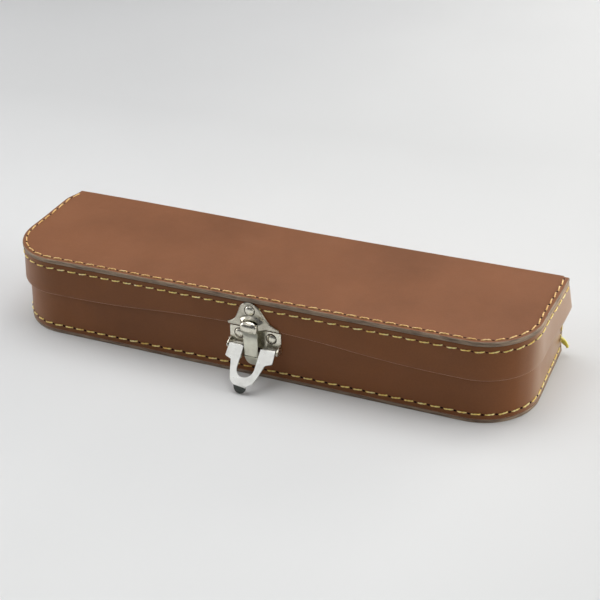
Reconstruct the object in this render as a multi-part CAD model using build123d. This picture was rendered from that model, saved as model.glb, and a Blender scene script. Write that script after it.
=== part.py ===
"""Hand-stitched leather flute case with a fitted interior and a draw latch.

Millimetres, +Z up, +X to the right, the latch faces -Y. The origin is the centre
of the footprint on the face that the case rests on.
"""

from build123d import *
import math
import os

# Case body
LENGTH = 400.0
DEPTH = 105.7
HEIGHT = 63.2
CORNER_R = 41.0  # front corners in plan, the back corners are square
WRAP = 2.6  # leather of the top, back and bottom, one hide folded twice
BAND = 2.5  # leather of the two stitched side bands
BOTTOM_OUTSET = 0.5  # bottom panel beyond the top panel
EDGE_BREAK = 0.4  # bevel of the cut leather edge on top
BOTTOM_FOLD_R = 2.2

# Base band, leaning inward from its foot to its rim
BASE_FOOT_INSET = -0.3
BASE_RIM_INSET = 3.76
BASE_RIM_DROP = 5.9  # rim below the top of the case

# Lid band, flaring outward from the top panel to its lower edge
LID_TOP_INSET = 0.7
LID_EDGE_INSET = -1.5
LID_EDGE_DROP = 29.0  # lower edge at the ends, below the top of the case
LID_ARCH_RISE = 6.8  # lower edge at the latch, above the ends
ARCH_MARGIN = 9.0  # straight edge between the arch and each corner
LID_BAND_REAR_GAP = 0.6  # free rear ends of the lid band, in front of the back face

# Leather fold that carries the lid
FOLD_CLEARANCE = 0.08
FOLD_END_GAP = 0.8  # between the fold's ends and the lid band

# Lid pad
PAD = 3.0
PAD_INSET = 3.7
PAD_REST_GAP = 0.3  # over the rim of the base band

# Fitted interior
FLOOR_BOARD = 2.6
FIT_GAP = 0.3
INSERT_DROP = 17.2  # below the top of the case
ROW_WIDTH = 36.0
DIVIDER = 6.0
FRONT_END_BLOCK = 22.0  # from the case's end to the body joint's pocket
REAR_END_BLOCK = 14.0  # from the case's end to the head and foot joints' pockets
FOOT_POCKET = 138.0  # pocket for the foot joint
PARTITION = 6.0
INSERT_BEVEL = 1.0  # softened top edges under the plush
SADDLE_LENGTH = 14.0
SADDLE_TOP = 25.0
SADDLE_NOTCH_R = 13.5
SADDLE_NOTCH_Z = 27.0
SCALLOP_WIDTH = 58.0
SCALLOP_DROP = 13.0

# Latch, common to its pieces
LATCH_X = 7.1
LATCH_WIDTH = 39.0
SHEET = 1.0  # nickel-plated sheet
RUN_CLEARANCE = 0.05
HOLE_CLEARANCE = 0.04
RIVET_SHANK_R = 1.5
RIVET_HEAD_R = 3.65
RIVET_HEAD_H = 1.5
WASHER_R = 3.4
WASHER = 0.45
CORNER_BREAK = 1.0

# Latch plate on the base
PLATE_ARCH_GAP = 3.0  # below the lid band's arch
PLATE_TALL = 14.0
PLATE_RIVET_X = 12.2
PLATE_RIVET_RISE = 8.7  # above the plate's lower edge
EAR = 1.0
EAR_R = 2.3

# Keeper on the lid
KEEPER_SHEET = 1.4
KEEPER_BEVEL = 0.7
KEEPER_TIP = 1.7
KEEPER_NECK = (11.4, 7.6)
KEEPER_SHOULDER = (8.6, 12.6)
KEEPER_HEIGHT = 18.6
KEEPER_RIVET_V = 12.9
BOSS_HALF_WIDTH = 9.2
BOSS_SIDE = 5.2
BOSS_CROWN = 9.0
BOSS_RISE = 4.2
BOSS_TAPER = 28.0
BOSS_WALL = 1.0
CATCH_BAR = 3.0
WINDOW_HALF_WIDTH = 6.3
WINDOW_TOP = 7.9

# Lever, turning on two stub pins in the plate's ears
PIVOT_OUT = 4.0
PIVOT_RISE = 1.2  # above the plate's lower edge
PIN_R = 1.0
STUB_HEAD_R = 1.6
STUB_HEAD = 0.6
STUB_REACH = 9.0
BARREL_R = 2.0
LEVER_ANGLE = 46.0  # from straight down, outward
LEVER_BEND_Z = 5.75  # sets how far down the tip's bend is
LEVER_TOP_HALF = 17.6
LEVER_BEND_HALF = 5.4
# Half widths, and places down the lever as shares of the run to its bend
LEVER_SHOULDER = (18.0, 9.0 / 28)
LEVER_NOTCH = (13.0, 10.8 / 28)
LEVER_WAIST = (10.7, 19.5 / 28)
LEVER_NOSE = (8.7, 25.0 / 28)
LEVER_HEAD_START = -0.2
TIP_LENGTH = 6.9
SLOT_HALF_WIDTH = 6.6
SLOT_END_SHARE = 21.9 / 28
ARM_GAP = 1.2  # from the slot's side to the barrel

# Hook (draw link) and its pin
LINK_OUT = 3.5
LINK_DROP = 5.2  # below the pivot
LINK_PIN_OVERHANG = 0.4
LUG_R = 2.2
LUG_FROM = 1.0
LUG_TO = 9.0
HOOK_HALF_WIDTH = 5.75
HOOK_SHEET = 1.2
# Outward from the case and upward from the link pin
HOOK_TAIL = (5.75, -4.7)
HOOK_NECK = (8.0, 17.5)
KNOB_INNER = 8.8
KNOB_OUTER = 11.6
KNOB_START_RISE = 19.5
LIP_OUT = 6.7
LIP_RISE = 24.8
LIP = 1.4
KNOB_RISE = 28.8
KNOB_CROWN = (9.7, 10.8)
KNUCKLE_R = 2.1
KNUCKLE_HALF_WIDTH = 4.6

# Derived
HALF_LENGTH = LENGTH / 2
HALF_DEPTH = DEPTH / 2
TOP_UNDERSIDE = HEIGHT - WRAP
BACK_INNER = HALF_DEPTH - WRAP
BASE_RIM_Z = HEIGHT - BASE_RIM_DROP
LID_EDGE_Z = HEIGHT - LID_EDGE_DROP
LID_ARCH_Z = LID_EDGE_Z + LID_ARCH_RISE
ARCH_HALF_RUN = HALF_LENGTH - CORNER_R - ARCH_MARGIN
INSERT_TOP = HEIGHT - INSERT_DROP
BODY_ROW = LENGTH - 2 * FRONT_END_BLOCK
HEAD_POCKET = LENGTH - 2 * REAR_END_BLOCK - PARTITION - FOOT_POCKET
PLATE_TOP_Z = LID_ARCH_Z - PLATE_ARCH_GAP
PLATE_BOTTOM_Z = PLATE_TOP_Z - PLATE_TALL
PLATE_RIVET_Z = PLATE_BOTTOM_Z + PLATE_RIVET_RISE
PIVOT_Z = PLATE_BOTTOM_Z + PIVOT_RISE
LINK_Z = PIVOT_Z - LINK_DROP
KNOB_START = LINK_Z + KNOB_START_RISE
LIP_Z = LINK_Z + LIP_RISE
KNOB_TOP = LINK_Z + KNOB_RISE
LEVER_REACH = (PIVOT_Z - LEVER_BEND_Z) / math.cos(math.radians(LEVER_ANGLE))
SLOT_END = SLOT_END_SHARE * LEVER_REACH
FOLD_AXIS_Y = BACK_INNER
FOLD_AXIS_Z = TOP_UNDERSIDE
BASE_LEAN = (BASE_RIM_INSET - BASE_FOOT_INSET) / (BASE_RIM_Z - WRAP)
LID_FLARE = (LID_TOP_INSET - LID_EDGE_INSET) / (TOP_UNDERSIDE - LID_EDGE_Z)
INSERT_FLOOR = WRAP + FLOOR_BOARD
REACH = 2 * LENGTH
PIN_SEAM = 127.0


def base_inset(z):
    """Inset of the base band's outer face from the top panel's outline."""
    return BASE_FOOT_INSET + BASE_LEAN * (z - WRAP)


def lid_inset(z):
    """Inset of the lid band's outer face from the top panel's outline."""
    return LID_TOP_INSET - LID_FLARE * (TOP_UNDERSIDE - z)


INSERT_INSET = base_inset(INSERT_TOP) + BAND + FIT_GAP


def case_outline(z, inset, rear=HALF_DEPTH):
    """Plan outline at height z: round front corners, square back, straight rear edge."""
    half = HALF_LENGTH - inset
    front = -HALF_DEPTH + inset
    radius = CORNER_R - inset
    k = radius * math.sqrt(0.5)
    cx = half - radius
    cy = front + radius
    edge = Line((-half, rear), (-half, cy))
    edge += ThreePointArc((-half, cy), (-cx - k, cy - k), (-cx, front))
    edge += Line((-cx, front), (cx, front))
    edge += ThreePointArc((cx, front), (cx + k, cy - k), (half, cy))
    edge += Line((half, cy), (half, rear))
    edge += Line((half, rear), (-half, rear))
    return Pos(0, 0, z) * make_face(edge)


def slab(z0, z1, inset, rear=HALF_DEPTH):
    return extrude(case_outline(z0, inset, rear), z1 - z0)


def block(x0, x1, y0, y1, z0, z1):
    box = Box(x1 - x0, y1 - y0, z1 - z0)
    return Pos((x0 + x1) / 2, (y0 + y1) / 2, (z0 + z1) / 2) * box


def rod(y, z, radius, x0, x1, seam=0):
    """Round bar along X. The seam angle keeps a pin's seam away from its hole's."""
    bar = Rot(seam, 0, 0) * Cylinder(radius, x1 - x0, rotation=(0, 90, 0))
    return Pos((x0 + x1) / 2, y, z) * bar


# Side view seen from +X with outward, away from the case's front, as the first axis
def side_plane(x):
    return Plane(origin=(x, -HALF_DEPTH, 0), x_dir=(0, -1, 0), z_dir=(-1, 0, 0))


def side_solid(face, x0, x1):
    return extrude(side_plane(x1) * face, x1 - x0)


def band(z0, z1, inset0, inset1, rear):
    """Upright leather strip round the left, front and right, open at the back."""
    outer = loft([case_outline(z0, inset0), case_outline(z1, inset1)], ruled=True)
    beyond = HALF_DEPTH + BAND
    sections = [case_outline(z0, inset0 + BAND, beyond), case_outline(z1, inset1 + BAND, beyond)]
    inner = loft(sections, ruled=True)
    strip = outer - inner
    return strip - block(-REACH, REACH, rear, REACH, -REACH, REACH)


# Wall planes at the latch, with local Z as the outward normal and local Y up the wall
def wall_plane(z, inset, lean):
    normal = Vector(0, -1, lean).normalized()
    return Plane(origin=(LATCH_X, -HALF_DEPTH + inset, z), x_dir=(1, 0, 0), z_dir=normal)


PLATE_PLANE = wall_plane(PLATE_BOTTOM_Z, base_inset(PLATE_BOTTOM_Z), BASE_LEAN)
KEEPER_PLANE = wall_plane(LID_ARCH_Z, lid_inset(LID_ARCH_Z), LID_FLARE)
PLATE_UP = math.hypot(1, BASE_LEAN)
PLATE_HEIGHT = (PLATE_TOP_Z - PLATE_BOTTOM_Z) * PLATE_UP
PLATE_RIVET_V = (PLATE_RIVET_Z - PLATE_BOTTOM_Z) * PLATE_UP


def plate_spots():
    return [(-PLATE_RIVET_X, PLATE_RIVET_V), (PLATE_RIVET_X, PLATE_RIVET_V)]


def rivet_holes(plane, spots):
    bore = RIVET_SHANK_R + HOLE_CLEARANCE
    return [plane * Pos(u, v, 0) * Cylinder(bore, 4 * BAND) for u, v in spots]


def rivet_head():
    """Low dome turned from three short slopes."""
    corners = [(0, 0), (RIVET_HEAD_R, 0)]
    for angle in (30, 60, 90):
        a = math.radians(angle)
        corners.append((RIVET_HEAD_R * math.cos(a), RIVET_HEAD_H * math.sin(a)))
    profile = Plane.XZ * make_face(Polyline(*corners, close=True))
    return revolve(profile, Axis.Z)


def rivets(plane, spots, sheet):
    """Domed rivets seated on a sheet, their shanks ending flush inside a washer."""
    made = []
    for u, v in spots:
        dome = Pos(0, 0, sheet) * rivet_head()
        length = sheet + BAND + WASHER
        shank = Pos(0, 0, sheet - length / 2) * Cylinder(RIVET_SHANK_R, length)
        made.append(plane * Pos(u, v, 0) * (dome + shank))
    return made


def washers(plane, spots):
    made = []
    for u, v in spots:
        ring = Cylinder(WASHER_R, WASHER) - Cylinder(RIVET_SHANK_R + HOLE_CLEARANCE, 2 * WASHER)
        made.append(plane * Pos(u, v, -BAND - WASHER / 2) * ring)
    return made


# Leather shell
def top_panel():
    panel = slab(TOP_UNDERSIDE, HEIGHT, 0)
    rim = panel.faces().sort_by(Axis.Z)[-1].edges().filter_by(lambda e: e.center().Y < BACK_INNER)
    panel = chamfer(rim, EDGE_BREAK)
    panel -= block(-REACH, REACH, FOLD_AXIS_Y, REACH, -REACH, REACH)
    return panel - rod(FOLD_AXIS_Y, FOLD_AXIS_Z, WRAP + FOLD_CLEARANCE, -REACH, REACH)


def bottom_panel():
    panel = slab(0, WRAP, -BOTTOM_OUTSET)
    fold = panel.edges().filter_by(Axis.X).sort_by(lambda e: e.center().Z - e.center().Y)[0]
    return fillet(fold, BOTTOM_FOLD_R)


def back_panel():
    """Upright back of the hide, narrowing with the base band that is stitched to it."""
    foot = HALF_LENGTH - base_inset(WRAP)
    head = HALF_LENGTH - base_inset(FOLD_AXIS_Z)
    outline = Polyline((-foot, WRAP), (foot, WRAP), (head, FOLD_AXIS_Z), (-head, FOLD_AXIS_Z), close=True)
    face = Plane(origin=(0, HALF_DEPTH, 0), x_dir=(1, 0, 0), z_dir=(0, -1, 0)) * make_face(outline)
    panel = extrude(face, WRAP)
    return panel - rod(FOLD_AXIS_Y, FOLD_AXIS_Z, WRAP + FOLD_CLEARANCE, -REACH, REACH)


def hinge_fold():
    half = HALF_LENGTH - lid_inset(FOLD_AXIS_Z) - BAND - FOLD_END_GAP
    return rod(FOLD_AXIS_Y, FOLD_AXIS_Z, WRAP, -half, half)


def base_band():
    strip = band(WRAP, BASE_RIM_Z, BASE_FOOT_INSET, BASE_RIM_INSET, BACK_INNER)
    for hole in rivet_holes(PLATE_PLANE, plate_spots()):
        strip -= hole
    return strip


def arch_cut():
    """Space under the shallow arch of the lid band's front edge, two S-curves."""
    half_run = ARCH_HALF_RUN / 2
    half_rise = (LID_ARCH_Z - LID_EDGE_Z) / 2
    mid_z = LID_EDGE_Z + half_rise
    radius = (half_run**2 + half_rise**2) / (2 * half_rise)
    below = LID_EDGE_Z - 4 * BAND
    left = TangentArc((-ARCH_HALF_RUN, LID_EDGE_Z), (-half_run, mid_z), tangent=(1, 0))
    right = TangentArc((ARCH_HALF_RUN, LID_EDGE_Z), (half_run, mid_z), tangent=(-1, 0))
    crown_sag = math.sqrt(radius**2 - half_run**2)
    crown = ThreePointArc((-half_run, mid_z), (0, mid_z + radius - crown_sag), (half_run, mid_z))
    sides = Polyline(
        (-ARCH_HALF_RUN, LID_EDGE_Z), (-ARCH_HALF_RUN, below), (ARCH_HALF_RUN, below), (ARCH_HALF_RUN, LID_EDGE_Z)
    )
    face = make_face(left + crown + right + sides)
    front = Plane(origin=(0, -HALF_DEPTH + CORNER_R, 0), x_dir=(1, 0, 0), z_dir=(0, -1, 0))
    return extrude(front * face, 2 * CORNER_R)


def lid_band():
    rear = HALF_DEPTH - LID_BAND_REAR_GAP
    strip = band(LID_EDGE_Z, TOP_UNDERSIDE, LID_EDGE_INSET, LID_TOP_INSET, rear)
    strip -= arch_cut()
    for hole in rivet_holes(KEEPER_PLANE, [(0, KEEPER_RIVET_V)]):
        strip -= hole
    return strip


def lid_pad():
    rear = FOLD_AXIS_Y - WRAP - FIT_GAP - PAD_REST_GAP
    pad = slab(TOP_UNDERSIDE - PAD, TOP_UNDERSIDE, PAD_INSET, rear)
    return chamfer(pad.faces().sort_by(Axis.Z)[0].edges(), PAD / 3)


# Fitted interior
ROW_HALF = BODY_ROW / 2
REAR_HALF = (HEAD_POCKET + PARTITION + FOOT_POCKET) / 2
FRONT_WALL_Y = -DIVIDER / 2 - ROW_WIDTH
REAR_WALL_Y = DIVIDER / 2 + ROW_WIDTH
PARTITION_X = -REAR_HALF + HEAD_POCKET
INSERT_REAR = BACK_INNER - FIT_GAP


def fitted(x0, x1, y0, y1, top=INSERT_TOP):
    """Part of the interior's outline between two planes each way, with soft top edges."""
    piece = slab(INSERT_FLOOR, top, INSERT_INSET, INSERT_REAR) & block(x0, x1, y0, y1, 0, top)
    return chamfer(piece.faces().sort_by(Axis.Z)[-1].edges(), INSERT_BEVEL)


def floor_board():
    return slab(WRAP, INSERT_FLOOR, base_inset(INSERT_FLOOR) + BAND + FIT_GAP, INSERT_REAR)


def scallop(x, y):
    """Finger dip across a wall that runs along X."""
    radius = (SCALLOP_DROP**2 + (SCALLOP_WIDTH / 2) ** 2) / (2 * SCALLOP_DROP)
    dip = Cylinder(radius, 3 * DIVIDER, rotation=(90, 0, 0))
    return Pos(x, y, INSERT_TOP - SCALLOP_DROP + radius) * dip


def divider():
    wall = fitted(-ROW_HALF, ROW_HALF, -DIVIDER / 2, DIVIDER / 2)
    for x in (PARTITION_X - HEAD_POCKET / 2, PARTITION_X + PARTITION + FOOT_POCKET / 2):
        wall -= scallop(x, 0)
    return wall


def saddle(x, y):
    """Support across a row, hollowed to the round of a flute joint."""
    bar = block(
        x - SADDLE_LENGTH / 2, x + SADDLE_LENGTH / 2, y - ROW_WIDTH / 2, y + ROW_WIDTH / 2, INSERT_FLOOR, SADDLE_TOP
    )
    return bar - Pos(x, y, SADDLE_NOTCH_Z) * Cylinder(SADDLE_NOTCH_R, 2 * SADDLE_LENGTH, rotation=(0, 90, 0))


FRONT_ROW_Y = -(DIVIDER + ROW_WIDTH) / 2
REAR_ROW_Y = (DIVIDER + ROW_WIDTH) / 2


def interior():
    wide = HALF_LENGTH
    head_mid = PARTITION_X - HEAD_POCKET / 2
    foot_mid = PARTITION_X + PARTITION + FOOT_POCKET / 2
    return {
        "floor_board": floor_board(),
        "front_rail": fitted(-ROW_HALF, ROW_HALF, -HALF_DEPTH, FRONT_WALL_Y),
        "back_rail": fitted(-wide, wide, REAR_WALL_Y, HALF_DEPTH),
        "front_block_left": fitted(-wide, -ROW_HALF, -HALF_DEPTH, DIVIDER / 2),
        "front_block_right": fitted(ROW_HALF, wide, -HALF_DEPTH, DIVIDER / 2),
        "rear_block_left": fitted(-wide, -REAR_HALF, DIVIDER / 2, REAR_WALL_Y),
        "rear_block_right": fitted(REAR_HALF, wide, DIVIDER / 2, REAR_WALL_Y),
        "divider": divider(),
        "partition": fitted(PARTITION_X, PARTITION_X + PARTITION, DIVIDER / 2, REAR_WALL_Y),
        "body_saddle_left": saddle(-ROW_HALF / 2, FRONT_ROW_Y),
        "body_saddle_right": saddle(ROW_HALF / 2, FRONT_ROW_Y),
        "head_saddle": saddle(head_mid - HEAD_POCKET / 4, REAR_ROW_Y),
        "foot_saddle": saddle(foot_mid + FOOT_POCKET / 4, REAR_ROW_Y),
    }


# Latch
def latch_plate():
    """Sheet on the base with two ears bent forward to carry the lever's stub pins."""
    sheet = Pos(0, PLATE_HEIGHT / 2, SHEET / 2) * Box(LATCH_WIDTH, PLATE_HEIGHT, SHEET)
    sheet = fillet(sheet.edges().filter_by(Axis.Z), CORNER_BREAK)
    plate = PLATE_PLANE * sheet
    plane_out = HALF_DEPTH - base_inset(PIVOT_Z)
    foot = -(HALF_DEPTH - plane_out)
    outline = make_hull((Pos(PIVOT_OUT, PIVOT_Z) * Circle(EAR_R)).edges()
                        + (Pos(foot, PIVOT_Z + EAR_R / 2) * Rectangle(SHEET, 3 * EAR_R)).edges())
    outline -= Pos(PIVOT_OUT, PIVOT_Z) * Circle(PIN_R + HOLE_CLEARANCE)
    outer = LATCH_WIDTH / 2
    for x0 in (LATCH_X - outer, LATCH_X + outer - EAR):
        plate += side_solid(outline, x0, x0 + EAR)
    keep = PLATE_PLANE * Pos(0, 0, LATCH_WIDTH / 2) * Box(2 * LATCH_WIDTH, 2 * LATCH_WIDTH, LATCH_WIDTH)
    plate &= keep
    for hole in rivet_holes(PLATE_PLANE, plate_spots()):
        plate -= hole
    return plate


def bell():
    """Keeper outline: wide foot with pointed tips, concave neck, rounded head."""
    half = LATCH_WIDTH / 2
    neck_x, neck_y = KEEPER_NECK
    head_x, head_y = KEEPER_SHOULDER
    tip = (half, KEEPER_TIP)
    rise = (head_x - neck_x, head_y - neck_y)
    flank = TangentArc((neck_x, neck_y), tip, tangent=(-rise[0], -rise[1]))
    flank_left = TangentArc((-neck_x, neck_y), (-half, KEEPER_TIP), tangent=(rise[0], -rise[1]))
    head = ThreePointArc((head_x, head_y), (0, KEEPER_HEIGHT), (-head_x, head_y))
    edge = Line((-half, 0), (half, 0)) + Line((half, 0), tip) + flank
    edge += Line((neck_x, neck_y), (head_x, head_y)) + head
    edge += Line((-head_x, head_y), (-neck_x, neck_y)) + flank_left
    edge += Line((-half, KEEPER_TIP), (-half, 0))
    return make_face(edge)


def boss_outline(inset):
    half = BOSS_HALF_WIDTH - inset
    crown = BOSS_CROWN - inset
    edge = Line((-half, -BOSS_SIDE), (half, -BOSS_SIDE)) + Line((half, -BOSS_SIDE), (half, BOSS_SIDE))
    edge += ThreePointArc((half, BOSS_SIDE), (0, crown), (-half, BOSS_SIDE))
    edge += Line((-half, BOSS_SIDE), (-half, -BOSS_SIDE))
    return make_face(edge)


def keeper_plate():
    """Bell-shaped sheet with a raised, hollow catch for the hook to enter."""
    sheet = extrude(bell(), KEEPER_SHEET)
    sheet = chamfer(sheet.faces().sort_by(Axis.Z)[-1].edges().filter_by(lambda e: e.center().Y > 0.1), KEEPER_BEVEL)
    boss = extrude(boss_outline(0), BOSS_RISE, taper=BOSS_TAPER)
    hollow = extrude(boss_outline(BOSS_WALL), BOSS_RISE - BOSS_WALL, taper=BOSS_TAPER)
    keeper = sheet + boss
    keeper -= hollow
    keeper &= Pos(0, LATCH_WIDTH / 2, 0) * Box(2 * LATCH_WIDTH, LATCH_WIDTH, LATCH_WIDTH)
    window_height = WINDOW_TOP - CATCH_BAR
    window = Box(2 * WINDOW_HALF_WIDTH, window_height, 2 * BOSS_RISE)
    keeper -= Pos(0, CATCH_BAR + window_height / 2, BOSS_RISE) * window
    keeper -= Pos(0, KEEPER_RIVET_V, 0) * Cylinder(RIVET_SHANK_R + HOLE_CLEARANCE, 4 * KEEPER_SHEET)
    return KEEPER_PLANE * keeper


def lever_axes():
    """Unit vectors (outward, z) down the lever and out of its front face."""
    a = math.radians(LEVER_ANGLE)
    return (math.sin(a), -math.cos(a)), (math.cos(a), math.sin(a))


def lever_top():
    """Centre of the lever's top edge on its front face, as (outward, z)."""
    along, normal = lever_axes()
    back = LEVER_HEAD_START
    return (
        PIVOT_OUT + BARREL_R * normal[0] + back * along[0],
        PIVOT_Z + BARREL_R * normal[1] + back * along[1],
    )


def lever_plane():
    """Local X is +X, local Y runs up the lever and local Z is out of its front face."""
    out, z = lever_top()
    _, normal = lever_axes()
    return Plane(
        origin=(LATCH_X, -HALF_DEPTH - out, z), x_dir=(1, 0, 0), z_dir=(0, -normal[0], normal[1])
    )


def lever_sheet():
    right = [(LEVER_TOP_HALF, 0)]
    for half, share in (LEVER_SHOULDER, LEVER_NOTCH, LEVER_WAIST, LEVER_NOSE):
        right.append((half, share * LEVER_REACH))
    right.append((LEVER_BEND_HALF, LEVER_REACH))
    points = [(x, -s) for x, s in right] + [(-x, -s) for x, s in reversed(right)]
    face = make_face(Polyline(*points, close=True))
    first = LEVER_SHOULDER[1] * LEVER_REACH - 1
    last = LEVER_WAIST[1] * LEVER_REACH + 1
    corners = face.vertices().filter_by(lambda v: first < -v.Y < last)
    face = fillet(corners, CORNER_BREAK)
    slot_round = SLOT_END - SLOT_HALF_WIDTH
    face -= Pos(0, -slot_round / 2 + BARREL_R) * Rectangle(2 * SLOT_HALF_WIDTH, slot_round + 2 * BARREL_R)
    face -= Pos(0, -slot_round) * Circle(SLOT_HALF_WIDTH)
    return lever_plane() * extrude(face, -SHEET)


def lever_tip():
    """Finger end of the lever, turned down to upright."""
    (du, dz), (nu, nz) = lever_axes()
    out, z = lever_top()
    half = LEVER_BEND_HALF
    out += LEVER_REACH * du
    z += LEVER_REACH * dz
    straight = TIP_LENGTH - half
    face = Pos(0, -straight / 2) * Rectangle(2 * half, straight) + Pos(0, -straight) * Circle(half)
    plane = Plane(origin=(LATCH_X, -HALF_DEPTH - out, z), x_dir=(1, 0, 0), z_dir=(0, -1, 0))
    below = Pos(0, -TIP_LENGTH / 2) * Rectangle(4 * half, TIP_LENGTH)
    tab = plane * extrude(face & below, -SHEET)
    corner = Polyline((out, z), (out - SHEET, z), (out - SHEET * nu, z - SHEET * nz), close=True)
    return tab + side_solid(make_face(corner), LATCH_X - half, LATCH_X + half)


def lever():
    arm_start = SLOT_HALF_WIDTH + ARM_GAP
    made = lever_sheet() + lever_tip()
    (du, dz), (nu, nz) = lever_axes()
    out, z = lever_top()
    inner = (out - SHEET * nu, z - SHEET * nz)
    lug_top = (inner[0] + LUG_FROM * du, inner[1] + LUG_FROM * dz)
    lug_foot = (inner[0] + LUG_TO * du, inner[1] + LUG_TO * dz)
    overlap = SHEET / 2
    lug_line = Polyline(
        lug_top, lug_foot, (lug_foot[0] + overlap * nu, lug_foot[1] + overlap * nz),
        (lug_top[0] + overlap * nu, lug_top[1] + overlap * nz), close=True,
    )
    lug = make_hull((Pos(LINK_OUT, LINK_Z) * Circle(LUG_R)).edges() + lug_line.edges())
    for side in (-1, 1):
        ends = sorted((LATCH_X + side * SLOT_HALF_WIDTH, LATCH_X + side * (SLOT_HALF_WIDTH + SHEET)))
        made += side_solid(lug, *ends)
        ends = sorted((LATCH_X + side * arm_start, LATCH_X + side * LEVER_TOP_HALF))
        made += rod(-HALF_DEPTH - PIVOT_OUT, PIVOT_Z, BARREL_R, *ends)
    made -= rod(-HALF_DEPTH - PIVOT_OUT, PIVOT_Z, PIN_R + RUN_CLEARANCE, -REACH, REACH)
    return made - rod(-HALF_DEPTH - LINK_OUT, LINK_Z, PIN_R + RUN_CLEARANCE, -REACH, REACH)


def lever_pins():
    made = []
    outer = LATCH_WIDTH / 2
    for side in (-1, 1):
        shank = sorted((LATCH_X + side * STUB_REACH, LATCH_X + side * (outer + STUB_HEAD)))
        head = sorted((LATCH_X + side * outer, LATCH_X + side * (outer + STUB_HEAD)))
        pin = rod(-HALF_DEPTH - PIVOT_OUT, PIVOT_Z, PIN_R, *shank, PIN_SEAM)
        made.append(pin + rod(-HALF_DEPTH - PIVOT_OUT, PIVOT_Z, STUB_HEAD_R, *head, PIN_SEAM))
    return made


def link_pin():
    half = SLOT_HALF_WIDTH + SHEET + LINK_PIN_OVERHANG
    return rod(-HALF_DEPTH - LINK_OUT, LINK_Z, PIN_R, LATCH_X - half, LATCH_X + half, PIN_SEAM)


def draw_hook():
    """Strip that swings on the link pin, with a rolled knob and a lip that enters the keeper."""
    tail_x, tail_z = HOOK_TAIL[0], LINK_Z + HOOK_TAIL[1]
    neck_x, neck_z = HOOK_NECK[0], LINK_Z + HOOK_NECK[1]
    lean = math.hypot(neck_x - tail_x, neck_z - tail_z)
    thick = HOOK_SHEET * lean / (neck_z - tail_z)
    crown_in, crown_out = KNOB_CROWN
    outline = Polyline(
        (tail_x, tail_z), (neck_x, neck_z), (KNOB_INNER, KNOB_START), (KNOB_INNER, LIP_Z),
        (LIP_OUT, LIP_Z), (LIP_OUT, LIP_Z + LIP), (KNOB_INNER, LIP_Z + LIP), (crown_in, KNOB_TOP),
        (crown_out, KNOB_TOP), (KNOB_OUTER, LIP_Z), (KNOB_OUTER, KNOB_START),
        (KNOB_OUTER - HOOK_SHEET, neck_z), (neck_x + thick, neck_z), (tail_x + thick, tail_z), close=True,
    )
    strip = side_solid(make_face(outline), LATCH_X - HOOK_HALF_WIDTH, LATCH_X + HOOK_HALF_WIDTH)
    outer_edges = strip.edges().filter_by(Axis.X).filter_by(
        lambda e: e.center().Z > neck_z - 1 and -e.center().Y - HALF_DEPTH > KNOB_CROWN[0] - 0.2
    )
    strip = fillet(outer_edges, HOOK_SHEET / 2)
    height = KNOB_TOP - tail_z
    window = Pos(0, tail_z + HOOK_HALF_WIDTH) * Circle(HOOK_HALF_WIDTH)
    window += Pos(0, tail_z + HOOK_HALF_WIDTH + height / 2) * RectangleRounded(2 * HOOK_HALF_WIDTH, height, 2)
    window += Pos(0, tail_z + 2 * HOOK_HALF_WIDTH) * Rectangle(2 * HOOK_HALF_WIDTH, 2 * HOOK_HALF_WIDTH)
    window &= Pos(0, tail_z + height / 2) * RectangleRounded(2 * HOOK_HALF_WIDTH, height, 2)
    front = Plane(origin=(LATCH_X, -HALF_DEPTH, 0), x_dir=(1, 0, 0), z_dir=(0, -1, 0))
    strip &= extrude(front * window, 2 * KNOB_OUTER)
    knuckle_face = make_hull(
        (Pos(LINK_OUT, LINK_Z) * Circle(KNUCKLE_R)).edges()
        + (Pos(neck_x - HOOK_SHEET, LINK_Z + KNUCKLE_R / 2) * Rectangle(HOOK_SHEET / 4, 2 * KNUCKLE_R)).edges()
    )
    knuckle = side_solid(knuckle_face, LATCH_X - KNUCKLE_HALF_WIDTH, LATCH_X + KNUCKLE_HALF_WIDTH)
    hook = strip + knuckle
    return hook - rod(-HALF_DEPTH - LINK_OUT, LINK_Z, PIN_R + RUN_CLEARANCE, -REACH, REACH)


def write(name, shape):
    """One STEP file for a node, holding one solid or a group of separate solids."""
    solids = []
    for piece in shape if isinstance(shape, list) else [shape]:
        solids += piece.solids()
    node = solids[0] if len(solids) == 1 else Compound(children=solids)
    export_step(node, f"parts/{name}.step")


def main():
    os.makedirs("parts", exist_ok=True)
    nodes = {
        "top_panel": top_panel(),
        "lid_band": lid_band(),
        "lid_pad": lid_pad(),
        "hinge_fold": hinge_fold(),
        "back_panel": back_panel(),
        "bottom_panel": bottom_panel(),
        "base_band": base_band(),
        "latch_plate": latch_plate(),
        "latch_rivets": rivets(PLATE_PLANE, plate_spots(), SHEET),
        "latch_washers": washers(PLATE_PLANE, plate_spots()),
        "keeper_plate": keeper_plate(),
        "keeper_rivet": rivets(KEEPER_PLANE, [(0, KEEPER_RIVET_V)], KEEPER_SHEET),
        "keeper_washer": washers(KEEPER_PLANE, [(0, KEEPER_RIVET_V)]),
        "lever": lever(),
        "lever_pins": lever_pins(),
        "link_pin": link_pin(),
        "draw_hook": draw_hook(),
    }
    nodes.update(interior())
    for name, shape in nodes.items():
        write(name, shape)


main()
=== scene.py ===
"""Flute case: leather shell, stitching, plush interior and nickel draw latch, in metres."""
import math
import random

import bmesh
import bpy
from mathutils import Matrix, Vector, noise


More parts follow.
